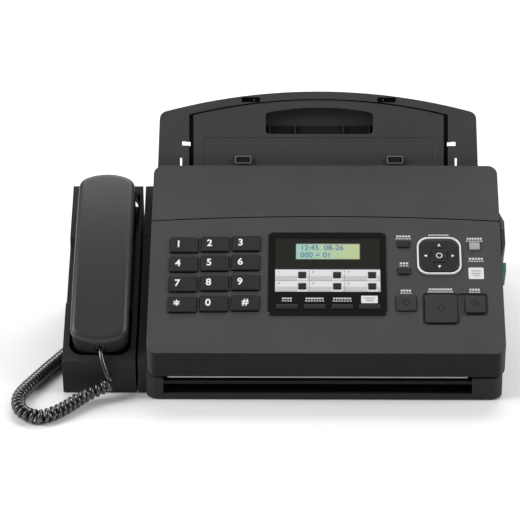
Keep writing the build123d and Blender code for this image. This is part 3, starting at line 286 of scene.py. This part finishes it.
def darker_where(material, source, channel, low, high, dark):
    """Darken a material's colour as one of its coordinates goes from low to high."""
    tree = material.node_tree
    make, join = tree.nodes.new, tree.links.new
    shader = tree.nodes["Principled BSDF"]
    colour = shader.inputs["Base Color"].links[0].from_socket
    split = make("ShaderNodeSeparateXYZ")
    join(make("ShaderNodeTexCoord").outputs[source], split.inputs[0])
    share = make("ShaderNodeMapRange")
    share.inputs["From Min"].default_value = low
    share.inputs["From Max"].default_value = high
    join(split.outputs[channel], share.inputs["Value"])
    mix = make("ShaderNodeMix")
    mix.data_type = "RGBA"
    mix.blend_type = "MULTIPLY"
    mix.inputs[7].default_value = dark
    join(share.outputs["Result"], mix.inputs["Factor"])
    join(colour, mix.inputs[6])
    join(mix.outputs[2], shader.inputs["Base Color"])


# the covers' upright front faces are darkened; the real plastic is probably one colour
# painted shade: where the cover faces forward, its colour is darkened to the tone of a face in shade
darker_where(cover, "Normal", "Y", -0.75, -0.95, (0.30, 0.30, 0.30, 1.0))
# the parts that stand on the boards are dark
darker_where(circuit, "Object", "Z", 9.65 * MM, 9.75 * MM, (0.9, 0.10, 0.25, 1.0))

looks = {
    "lower_case": case, "handset_cradle": case, "control_panel": cover, "back_cover": cover,
    "paper_tray": tray, "tension_plate": tray, "handset_lower_shell": case,
    "handset_upper_shell": handset_skin, "rubber_feet": foot_rubber, "platen_roller": roller_rubber,
    "feed_roller": roller_rubber, "case_screws": steel, "chassis": steel, "feed_motor": steel,
    "main_board": circuit, "key_board": circuit, "speaker": speaker_skin, "thermal_head": aluminium,
    "image_sensor": sensor_skin, "film_supply_roll": ink_film, "film_take_up_roll": ink_film,
    "display_bezel": bezel, "lcd_module": window, "release_lever": lever_green, "hook_switch": hook_skin,
    "handset_plug": plug_skin, "cradle_plug": plug_skin, "handset_cord_coil": cord_skin,
    "handset_cord_lead": cord_skin, "handset_cord_tail": cord_skin, "stop_key": key_charcoal,
    "start_key": key_charcoal, "copy_key": key_charcoal, "auto_answer_key": key_light,
    "navigation_pad": pad_black, "set_key": pad_black,
}
for node_name, node in nodes.items():
    look = looks.get(node_name, key_black)
    if not node.material_slots:
        node.data.materials.append(look)
    for place_in in node.material_slots:
        place_in.material = look


# ---------------------------------------------------------------- mesh helpers
def new_object(name, mesh, material, body):
    piece = bpy.data.objects.new(name, mesh)
    bpy.context.scene.collection.objects.link(piece)
    mesh.materials.append(material)
    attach(piece, body)
    return piece


def rounded(width, height, radius, steps=5):
    """A rounded rectangle's outline about the origin."""
    points = []
    radius = min(radius, width / 2, height / 2)
    for index, (sx, sy) in enumerate(((1, 1), (-1, 1), (-1, -1), (1, -1))):
        cx, cy = sx * (width / 2 - radius), sy * (height / 2 - radius)
        if radius <= 0:
            points.append((cx, cy))
            continue
        for step in range(steps + 1):
            angle = math.radians(90 * index + 90 * step / steps)
            points.append((cx + radius * math.cos(angle), cy + radius * math.sin(angle)))
    return points


def ring_outline(radius, steps=24):
    return [(radius * math.cos(2 * math.pi * i / steps), radius * math.sin(2 * math.pi * i / steps))
            for i in range(steps)]


def slab(name, place, centre, outline, low, high, material, body, hole=None, round_over=0.0):
    """A plate with the given outline, and a hole where asked, between two heights over a surface."""
    cx, cy = centre
    mesh = bpy.data.meshes.new(name)
    build = bmesh.new()
    rings = []
    levels = [(low, 0.0), (high - round_over, 0.0)]
    if round_over > 0:
        levels = [(low, 0.0), (high - round_over, 0.0), (high - 0.3 * round_over, 0.3 * round_over),
                  (high, round_over)]
    outlines = [outline] if hole is None else [outline, hole]
    for index, points in enumerate(outlines):
        sign = 1.0 if index == 0 else -1.0
        loops = []
        mid_x = sum(p[0] for p in points) / len(points)
        mid_y = sum(p[1] for p in points) / len(points)
        for height, inset in levels:
            loop = []
            for px, py in points:
                reach = math.hypot(px - mid_x, py - mid_y) or 1.0
                share = 1.0 - sign * inset / reach
                loop.append(build.verts.new(place(cx + mid_x + (px - mid_x) * share,
                                                  cy + mid_y + (py - mid_y) * share, height)))
            loops.append(loop)
        rings.append(loops)
        count = len(points)
        for lower, upper in zip(loops, loops[1:]):
            for i in range(count):
                j = (i + 1) % count
                build.faces.new((lower[i], lower[j], upper[j], upper[i]))
    if hole is None:
        build.faces.new(rings[0][-1])
        build.faces.new(list(reversed(rings[0][0])))
    else:
        outer, inner = rings[0], rings[1]
        count = len(outline)
        for level in (0, -1):
            for i in range(count):
                j = (i + 1) % count
                build.faces.new((outer[level][i], outer[level][j], inner[level][j], inner[level][i]))
    bmesh.ops.recalc_face_normals(build, faces=build.faces)
    build.to_mesh(mesh)
    build.free()
    return new_object(name, mesh, material, body)


def merged(name, material, body, blocks):
    """Several small blocks as one piece. Each block is (place, centre, outline, low, high)."""
    mesh = bpy.data.meshes.new(name)
    build = bmesh.new()
    for place, (cx, cy), outline, low, high in blocks:
        floor = [build.verts.new(place(cx + x, cy + y, low)) for x, y in outline]
        roof = [build.verts.new(place(cx + x, cy + y, high)) for x, y in outline]
        build.faces.new(roof)
        build.faces.new(list(reversed(floor)))
        for i in range(len(outline)):
            j = (i + 1) % len(outline)
            build.faces.new((floor[i], floor[j], roof[j], roof[i]))
    bmesh.ops.recalc_face_normals(build, faces=build.faces)
    build.to_mesh(mesh)
    build.free()
    return new_object(name, mesh, material, body)


def text(name, words, size, place, x, y, height, material, body, align="CENTER", bold=0.0, shear=0.0):
    """Raised print: digits and signs only."""
    curve = bpy.data.curves.new(name, "FONT")
    curve.body = words
    curve.size = size * MM
    curve.align_x = align
    curve.align_y = "CENTER"
    curve.extrude = 0.03 * MM
    curve.offset = bold * MM
    curve.shear = shear
    source = bpy.data.objects.new(name + "_source", curve)
    bpy.context.scene.collection.objects.link(source)
    bpy.context.view_layer.update()
    mesh = bpy.data.meshes.new_from_object(source.evaluated_get(bpy.context.evaluated_depsgraph_get()))
    bpy.data.objects.remove(source)
    origin = place(x, y, height)
    across = (place(x + 1, y, height) - origin).normalized()
    up = (place(x, y + 1, height) - origin).normalized()
    out = across.cross(up)
    rotation = Matrix((across, up, out)).transposed().to_4x4()
    mesh.transform(Matrix.Translation(origin) @ rotation)
    mesh.materials.clear()
    mesh.name = name
    return new_object(name, mesh, material, body)


# ---------------------------------------------------------------- handset cord
# The same route as the CAD, in mm: x, y from the front face, z
plug_face = on_cradle(-149.0, 22.5, 5.0) / MM
LEAD = [plug_face, plug_face - UP_SLOPE * 7.0] + [
    Vector((x, FRONT + y, z)) for x, y, z in ((-143.6, 1.4, 22.6), (-140.5, 2.0, 13.5))
]
COIL = [Vector((x, FRONT + y, z)) for x, y, z in (
    (-152.0, -2.5, 10.2), (-161.4, -7.0, 7.8), (-170.2, -16.8, 6.2), (-178.8, -27.0, 6.0),
    (-187.4, -34.2, 6.0), (-195.4, -37.0, 6.0), (-203.6, -34.6, 6.0), (-210.6, -27.2, 6.0),
    (-214.0, -17.2, 6.0), (-214.2, -6.4, 6.0), (-210.6, 5.0, 6.0), (-203.6, 19.4, 6.0),
    (-195.6, 36.6, 6.0), (-187.0, 53.0, 6.1), (-178.0, 70.0, 6.4),
)]
TAIL = [Vector((x, FRONT + y, z)) for x, y, z in (
    (-175.8, 79.0, 7.6), (-174.8, 88.0, 9.2), (-174.5, 96.0, 10.0), (-174.5, 103.0, 10.0),
)]
WIRE = 3.7
COIL_RADIUS = 4.04
LEAD_LENGTH, TAIL_LENGTH = 27.0, 31.0
COIL_EASE = 5.2                      # the run over which the turns open out and close
LOOSE_PITCH, PITCH_DROP = 5.1, 1.15  # the turns are looser near the handset
STEPS_PER_TURN = 26.0
STRAIGHT_STEP = 0.7
FIRST_TURN_ANGLE = 2.2


def spline_points(route):
    """Points along the smooth curve that the route's points steer."""
    curve = bpy.data.curves.new("cord_route", "CURVE")
    curve.dimensions = "3D"
    curve.resolution_u = 32
    spline = curve.splines.new("NURBS")
    spline.points.add(len(route) - 1)
    for point, place in zip(spline.points, route):
        point.co = (*place, 1.0)
    spline.order_u = 3
    spline.use_endpoint_u = True
    source = bpy.data.objects.new("cord_route", curve)
    bpy.context.scene.collection.objects.link(source)
    bpy.context.view_layer.update()
    mesh = bpy.data.meshes.new_from_object(source.evaluated_get(bpy.context.evaluated_depsgraph_get()))
    points = [vertex.co.copy() for vertex in mesh.vertices]
    bpy.data.objects.remove(source)
    bpy.data.meshes.remove(mesh)
    return points


def smooth(value):
    value = min(max(value, 0.0), 1.0)
    return value * value * (3.0 - 2.0 * value)


def wound(centre_line):
    """The wire's own line: straight at both ends, wound round the centre line between them."""
    lengths = [0.0]
    for a, b in zip(centre_line, centre_line[1:]):
        lengths.append(lengths[-1] + (b - a).length)
    total = lengths[-1]
    coil_start, coil_end = LEAD_LENGTH, total - TAIL_LENGTH
    side = Vector((0, 0, 1)).cross(centre_line[1] - centre_line[0]).normalized()
    line, at, turn_angle, index = [], 0.0, FIRST_TURN_ANGLE, 0
    previous = (centre_line[1] - centre_line[0]).normalized()
    while at < total:
        while index < len(lengths) - 2 and lengths[index + 1] < at:
            index += 1
        run = centre_line[index + 1] - centre_line[index]
        share = (at - lengths[index]) / run.length
        middle = centre_line[index] + run * share
        ahead = min(index + 2, len(centre_line) - 1)
        before = max(index - 1, 0)
        along = ((centre_line[ahead] - centre_line[index]).normalized() * share
                 + (centre_line[index + 1] - centre_line[before]).normalized() * (1 - share)).normalized()
        side = previous.rotation_difference(along) @ side
        side = (side - along * side.dot(along)).normalized()
        previous = along
        over = along.cross(side)
        inside = coil_start < at < coil_end
        opening = smooth((at - coil_start) / COIL_EASE)
        reach = COIL_RADIUS * opening * smooth((coil_end - at) / COIL_EASE)
        line.append(middle + (side * math.cos(turn_angle) + over * math.sin(turn_angle)) * reach)
        travelled = (at - coil_start) / (coil_end - coil_start)
        pitch = LOOSE_PITCH - PITCH_DROP * smooth((travelled - 0.42) / 0.3)
        if inside:
            step = pitch / STEPS_PER_TURN
            turn_angle -= 2 * math.pi / STEPS_PER_TURN
        else:
            step = STRAIGHT_STEP
        at += step
    line.append(centre_line[-1])
    return line


def wire(name, line, radius, sides=10):
    """A round tube that follows a line of points, with closed ends."""
    mesh = bpy.data.meshes.new(name)
    build = bmesh.new()
    rings = []
    side = None
    previous = None
    for index, point in enumerate(line):
        along = (line[min(index + 1, len(line) - 1)] - line[max(index - 1, 0)]).normalized()
        if side is None:
            side = along.orthogonal().normalized()
        else:
            side = previous.rotation_difference(along) @ side
        side = (side - along * side.dot(along)).normalized()
        over = along.cross(side)
        previous = along
        rings.append([
            build.verts.new((point + (side * math.cos(2 * math.pi * i / sides)
                                      + over * math.sin(2 * math.pi * i / sides)) * radius) * MM)
            for i in range(sides)
        ])
    for lower, upper in zip(rings, rings[1:]):
        for i in range(sides):
            j = (i + 1) % sides
            build.faces.new((lower[i], lower[j], upper[j], upper[i]))
    build.faces.new(list(reversed(rings[0])))
    build.faces.new(rings[-1])
    for face in build.faces:
        face.smooth = len(face.verts) == 4
    bmesh.ops.recalc_face_normals(build, faces=build.faces)
    build.to_mesh(mesh)
    build.free()
    mesh.materials.append(cord_skin)
    piece = bpy.data.objects.new(name, mesh)
    bpy.context.scene.collection.objects.link(piece)
    return piece


cord_line = wound(spline_points(LEAD + COIL + TAIL))
handset_cord = wire("handset_cord", cord_line, WIRE / 2)
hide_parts("handset_cord_coil", "handset_cord_lead", "handset_cord_tail")
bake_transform(handset_cord)

# ---------------------------------------------------------------- dial keys
DIAL = ("1", "2", "3", "4", "5", "6", "7", "8", "9", "star", "0", "hash")
SIGNS = {"star": "*", "hash": "#"}
for index, dial_name in enumerate(DIAL):
    key_x = (-83.6, -58.15, -32.7)[index % 3]
    key_v = (106.2, 87.2, 67.8, 48.0)[index // 3] - (key_x - 32.45) ** 2 / 5800.0
    sign = SIGNS.get(dial_name, dial_name)
    offset = 0.0 if dial_name == "hash" else -4.6
    drop = -1.6 if dial_name == "star" else 0.0
    size = 12.0 if dial_name == "star" else 9.0
    text(f"digit_{dial_name}", sign, size, on_panel, key_x + offset, key_v + drop, 2.22, ink_and_highlight_white,
         f"dial_key_{dial_name}", bold=0.22)

# ---------------------------------------------------------------- navigation pad and its ring
slab("nav_ring", on_panel, (125.25, 93.65), rounded(36.1, 36.4, 9.2, 7), -0.3, 1.5, silver, "control_panel",
     hole=rounded(33.3, 33.4, 8.0, 7), round_over=0.5)
ARROW = [(0.0, 1.5), (-1.35, -1.2), (1.35, -1.2)]


def turned(outline, quarter):
    angle = math.radians(90 * quarter)
    return [(x * math.cos(angle) - y * math.sin(angle), x * math.sin(angle) + y * math.cos(angle))
            for x, y in outline]


merged("nav_arrows", ink_and_highlight_white, "navigation_pad", [
    (on_panel, (125.3 + dx, 93.4 + dy), turned(ARROW, quarter), 1.15, 1.26)
    for quarter, (dx, dy) in enumerate(((0, 10.6), (-11.2, 0), (0, -10.6), (11.2, 0)))
])
slab("set_key_mark", on_panel, (125.3, 93.4), ring_outline(2.6), 1.55, 1.66, ink_and_highlight_white, "set_key",
     hole=ring_outline(1.9))

# ---------------------------------------------------------------- display, card and plates
slab("lcd_screen", on_panel, (34.3, 97.7), rounded(52.0, 15.0, 0.8), 0.55, 0.68, lcd_glass, "control_panel")
slab("lcd_frame", on_panel, (34.3, 97.7), rounded(53.6, 16.6, 1.4), 0.55, 0.72, ink_dark, "control_panel",
     hole=rounded(52.0, 15.0, 0.8))
text("lcd_line_1", "12:45  08-26", 7.0, on_panel, 11.6, 101.3, 0.72, lcd_ink, "control_panel", align="LEFT")
text("lcd_line_2", "000 = 01", 7.0, on_panel, 11.6, 94.2, 0.72, lcd_ink, "control_panel", align="LEFT")

ONE_TOUCH_X, ONE_TOUCH_V = (13.4, 41.75, 70.2), (74.5, 63.5)
card_blocks, band_blocks, line_blocks, ring_blocks = [], [], [], []
COLUMNS = (-8.7, 19.2, 48.0, 76.9)
ROWS = (80.0, 68.9, 58.3)
for row in range(2):
    for column in range(3):
        low_x, high_x = COLUMNS[column], COLUMNS[column + 1]
        high_v, low_v = ROWS[row], ROWS[row + 1]
        key_x, key_v = ONE_TOUCH_X[column], ONE_TOUCH_V[row]
        gap_x, gap_v = 3.25, 3.15
        spans = [
            (low_x, key_x - gap_x, low_v, high_v), (key_x + gap_x, high_x, low_v, high_v),
            (key_x - gap_x, key_x + gap_x, key_v + gap_v, high_v),
            (key_x - gap_x, key_x + gap_x, low_v, key_v - gap_v),
        ]
        for a, b, c, d in spans:
            if b > a and d > c:
                middle = ((a + b) / 2, (c + d) / 2)
                card_blocks.append((on_panel, middle, rounded(b - a, d - c, 0), 0.65, 0.86))
        for a, b in ((low_x + 0.5, key_x - gap_x - 0.9), (key_x + gap_x + 0.9, high_x - 0.3)):
            if b > a:
                middle = ((a + b) / 2, low_v + 2.6)
                band_blocks.append((on_panel, middle, rounded(b - a, 4.4, 0), 0.8, 0.89))
for x in COLUMNS[1:3]:
    line_blocks.append((on_panel, (x, 69.1), rounded(0.35, 21.4, 0), 0.8, 0.90))
line_blocks.append((on_panel, (34.1, 68.9), rounded(85.6, 0.35, 0), 0.8, 0.90))
merged("memo_card", card_white, "control_panel", card_blocks)
merged("memo_card_bands", card_grey, "control_panel", band_blocks)
merged("memo_card_lines", ink_grey, "control_panel", line_blocks)
for number in range(6):
    x = COLUMNS[number % 3] + 3.0
    text(f"memo_number_{number + 1}", str(number + 1), 2.6, on_panel, x, ROWS[number // 3] - 2.6, 0.91,
         ink_dark, "control_panel")
slab("function_plate", on_panel, (67.8, 50.7), rounded(13.5, 7.3, 0.6), 0.95, 1.1, card_white,
     "control_panel",
     round_over=0.1)
slab("language_plate", on_panel, (154.9, 76.9), rounded(12.5, 11.3, 1.2), -0.05, 0.18, card_white,
     "control_panel", round_over=0.1)
bars = []
for x, v, length in ((67.8, 52.0, 8.4), (67.8, 49.8, 6.0)):
    bars.append((on_panel, (x, v), rounded(length, 0.8, 0.3, 2), 1.05, 1.13))
for x, v, length in ((154.9, 79.2, 7.6), (154.9, 76.8, 7.6), (154.9, 74.6, 5.4)):
    bars.append((on_panel, (x, v), rounded(length, 0.8, 0.3, 2), 0.1, 0.22))
merged("plate_bars", ink_grey, "control_panel", bars)

# plain bars where the machine carries printed captions
captions = []


def caption(x, v, length, height, low=-0.03):
    """A row of short dashes."""
    count = max(int(length / 2.1), 2)
    for dash in range(count):
        width = length / count
        captions.append((on_panel, (x - length / 2 + (dash + 0.5) * width, v),
                         rounded(width * 0.78, height, 0.25, 2), low, low + 0.08))


for x, v, length in ((96.3, 110.9, 13.0), (96.4, 84.2, 8.0), (154.5, 108.7, 14.0), (155.2, 88.8, 13.0),
                     (97.4, 57.6, 9.5), (125.4, 58.8, 21.0), (153.0, 58.6, 9.5)):
    caption(x, v, length, 1.0)
    caption(x, v + 2.4, length * 0.92, 1.9)
caption(125.3, 114.6, 17.0, 1.3)
for x in (1.0, 23.4, 45.7):
    caption(x, 49.2, 8.4 if x == 1.0 else 16.0, 0.9, 0.97)
    caption(x, 51.6, 8.4 if x == 1.0 else 15.0, 1.6, 0.97)
merged("caption_bars", ink_soft, "control_panel", captions)

# ---------------------------------------------------------------- painted shade: dark strips in the wells round the large keys
merged("key_well_shade", key_well_shade_colour, "control_panel", [
    (on_panel, ((a + b) / 2, (c + d) / 2), rounded(b - a, d - c, 0), -0.95, -0.84)
    for a, b, c, d in (
        (110.7, 112.0, 27.3, 57.3), (138.8, 140.4, 27.3, 57.3), (112.0, 138.8, 27.3, 28.4),
        (112.0, 138.8, 56.2, 57.3), (140.4, 144.7, 35.9, 57.3), (161.7, 163.2, 35.9, 57.3),
        (144.7, 161.7, 35.9, 38.0), (144.7, 161.7, 55.0, 57.3),
    )
])

# ---------------------------------------------------------------- signs on the large keys
slab("stop_sign", on_panel, (97.4, 47.8), ring_outline(2.9), 1.35, 1.45, deep_black, "stop_key",
     hole=ring_outline(2.2))
diamond = [(0.0, 3.6), (-3.6, 0.0), (0.0, -3.6), (3.6, 0.0)]
slab("start_sign", on_panel, (125.4, 42.6), diamond, 1.15, 1.25, deep_black, "start_key",
     hole=[(x * 0.74, y * 0.74) for x, y in diamond])
slab("copy_sign_rear", on_panel, (151.9, 47.8), ring_outline(2.3), 1.15, 1.24, deep_black, "copy_key",
     hole=ring_outline(1.7))
slab("copy_sign_front", on_panel, (154.6, 45.4), ring_outline(2.3), 1.15, 1.25, deep_black, "copy_key",
     hole=ring_outline(1.7))

# ---------------------------------------------------------------- tray and tension plate details
for side, clip_x in (("left", -36.7), ("right", 91.3)):
    slab(f"clip_edge_{side}", on_tray, (clip_x, 11.5), rounded(13.6, 6.4, 1.6), 1.5, 1.72, ink_grey,
         "tension_plate", hole=rounded(12.3, 5.1, 1.1))
    slab(f"clip_face_{side}", on_tray, (clip_x, 11.5), rounded(12.3, 5.1, 1.1), 1.5, 1.62, deep_black,
         "tension_plate")
# painted shade: the pocket's floor and ribs are darker than the tray plastic round them, and a black band
# across the floor's lower part is a painted shadow
slab("pocket_floor", on_tray, (27.4, 44.0), rounded(91.0, 22.0, 0.5, 1), -9.1, -8.9, pocket_shade_grey,
     "back_cover")
slab("pocket_shadow_band", on_tray, (27.4, 37.0), rounded(91.0, 7.4, 0.5, 1), -9.0, -8.7, deep_black, "back_cover")
merged("pocket_ribs", pocket_shade_grey, "back_cover", [
    (on_tray, (x, 37.0), rounded(0.8, 7.2, 0), -8.8, -6.6) for x in (-15.0, 7.0, 48.0, 70.0)
])
# painted shade: black floors in the two slots of the tray's rim
merged("rim_slot_shade", deep_black, "back_cover", [
    (on_tray, (x, 65.0 - (x - 26.2) ** 2 / 1100.0), rounded(15.4, 4.0, 1.0, 2), -3.05, -2.85)
    for x in (-30.3, 84.1)
])
# painted highlights: small white dots in the rim slots
merged("rim_slot_highlights", ink_and_highlight_white, "back_cover", [
    (on_tray, (x, 65.0 - (x - 26.2) ** 2 / 1100.0), rounded(0.9, 0.9, 0.4, 2), -2.9, -2.2)
    for x in (-27.5, 81.3)
])
# painted shade: a black bar across the front face stands for the dark mouth of the outlet
merged("outlet_shade_bar", deep_black, "base", [
    (facing_front, (25.75, 16.1), rounded(248.0, 1.9, 0), -0.4, 0.06),
])

# ---------------------------------------------------------------- document strip at the front
STRIP_LEFT, STRIP_RIGHT = -94.7, 146.1
merged("document_strip", strip_white, "base", [
    (facing_front, ((STRIP_LEFT + STRIP_RIGHT) / 2, 20.25), rounded(STRIP_RIGHT - STRIP_LEFT, 1.9, 0),
     -5.6, -2.3),
])

# ---------------------------------------------------------------- handset grille
# painted shade: black discs stand for the grille's holes
grille_hole_shade = []
for middle_v in (44.5, 159.0):
    for row in range(-2, 3):
        for column in range(-2, 3):
            if row * row + column * column <= 5:
                grille_hole_shade.append((on_cradle, (-150.0 + 3.6 * column, middle_v + 3.6 * row), ring_outline(0.9, 10),
                              -14.06, -13.9))
merged("handset_grille_shade", deep_black, "handset", grille_hole_shade)

# ---------------------------------------------------------------- floor and light
floor_mesh = bpy.data.meshes.new("floor")
floor_build = bmesh.new()
corners = [floor_build.verts.new((x, y, 0.0)) for x, y in ((-6, -6), (6, -6), (6, 6), (-6, 6))]
floor_build.faces.new(corners)
floor_build.to_mesh(floor_mesh)
floor_build.free()
floor = bpy.data.objects.new("floor", floor_mesh)
bpy.context.scene.collection.objects.link(floor)
pale = bpy.data.materials.new("floor_pale")
pale.use_nodes = True
pale_shader = pale.node_tree.nodes["Principled BSDF"]
pale_shader.inputs["Roughness"].default_value = 0.9
pale_shader.inputs["Specular IOR Level"].default_value = 0.1
pale_noise = pale.node_tree.nodes.new("ShaderNodeTexNoise")
pale_noise.inputs["Scale"].default_value = 3.0
pale_mix = pale.node_tree.nodes.new("ShaderNodeMix")
pale_mix.data_type = "RGBA"
pale_mix.inputs[6].default_value = (0.90, 0.90, 0.90, 1)
pale_mix.inputs[7].default_value = (0.94, 0.94, 0.94, 1)
pale.node_tree.links.new(pale_noise.outputs["Fac"], pale_mix.inputs["Factor"])
pale.node_tree.links.new(pale_mix.outputs[2], pale_shader.inputs["Base Color"])
floor_mesh.materials.append(pale)


def area_light(name, place, target, size, power):
    data = bpy.data.lights.new(name, "AREA")
    data.shape = "RECTANGLE"
    data.size, data.size_y = size
    data.energy = power
    light = bpy.data.objects.new(name, data)
    bpy.context.scene.collection.objects.link(light)
    direction = Vector(target) - Vector(place)
    aim = direction.to_track_quat("-Z", "Y").to_matrix().to_4x4()
    light.matrix_world = Matrix.Translation(Vector(place)) @ aim


area_light("key_light", (0.1, 1.7, 2.1), (0, 0, 0.05), (2.6, 1.4), 56)
area_light("left_light", (-2.0, -0.35, 1.3), (-0.1, -0.1, 0.06), (1.0, 1.8), 46)
area_light("right_light", (2.1, -0.25, 1.4), (0.1, -0.1, 0.06), (1.0, 1.8), 38)

world = bpy.data.worlds.new("studio")
world.use_nodes = True
world.node_tree.nodes["Background"].inputs["Color"].default_value = (1, 1, 1, 1)
world.node_tree.nodes["Background"].inputs["Strength"].default_value = 0.14
bpy.context.scene.world = world
bpy.context.scene.view_settings.view_transform = "Standard"
